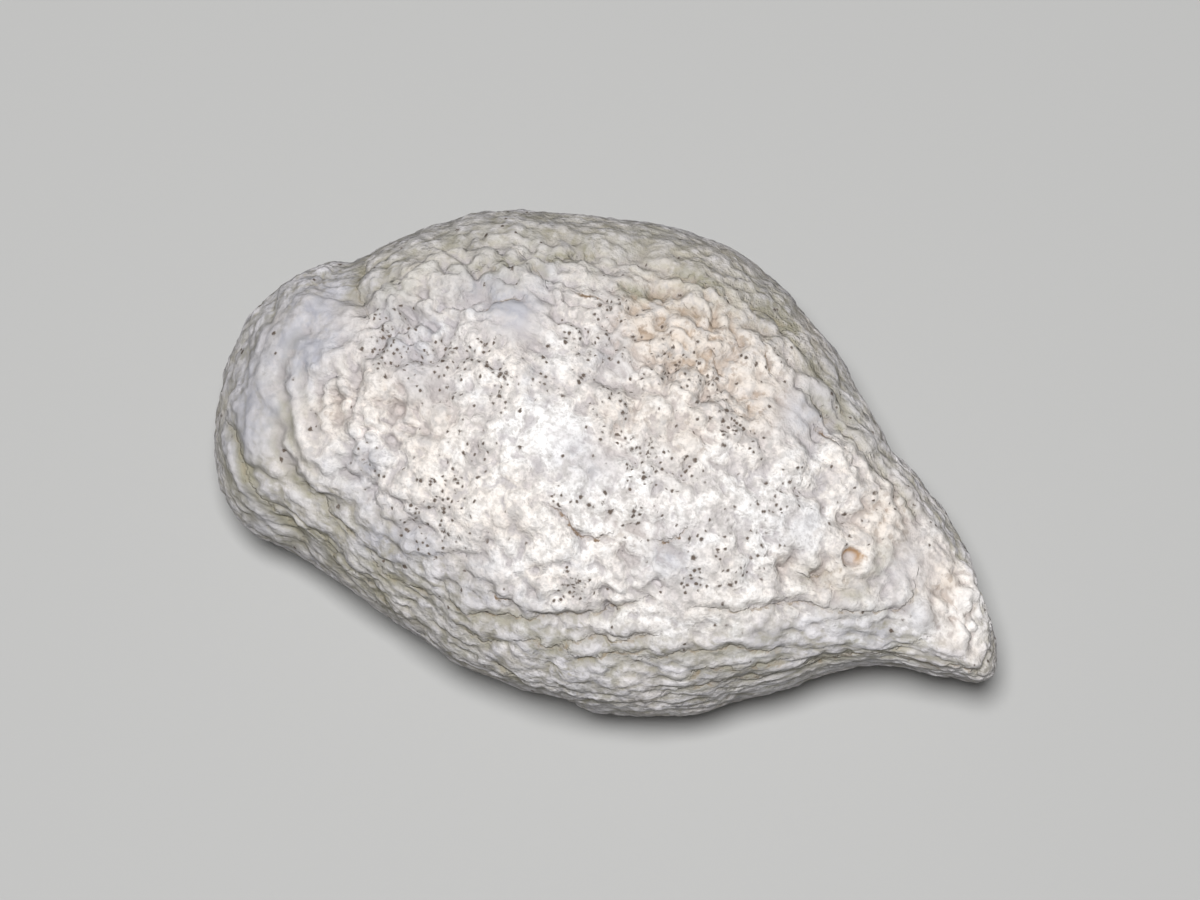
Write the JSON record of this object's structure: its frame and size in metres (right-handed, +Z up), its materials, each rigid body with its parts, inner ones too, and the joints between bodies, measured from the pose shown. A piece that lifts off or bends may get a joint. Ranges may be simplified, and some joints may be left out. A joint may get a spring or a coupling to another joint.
{
  "type": "coprolite",
  "caption": "Teardrop-shaped fossil coprolite in one piece: a chalky, cream-white stone, blunt at one end and drawn to a short beak, folded and pitted, lying on a small flat spot.",
  "frame": {"origin": "on the resting surface, under the middle of the stone's bounding box", "axes": "+X from the blunt end to the beak, +Y to the far flank, +Z up from the resting surface"},
  "size_m": [0.0638, 0.0378, 0.0271],
  "materials": {
    "stone": "matte"
  },
  "bodies": {
    "root": {"coprolite": "stone"}
  },
  "joints": []
}
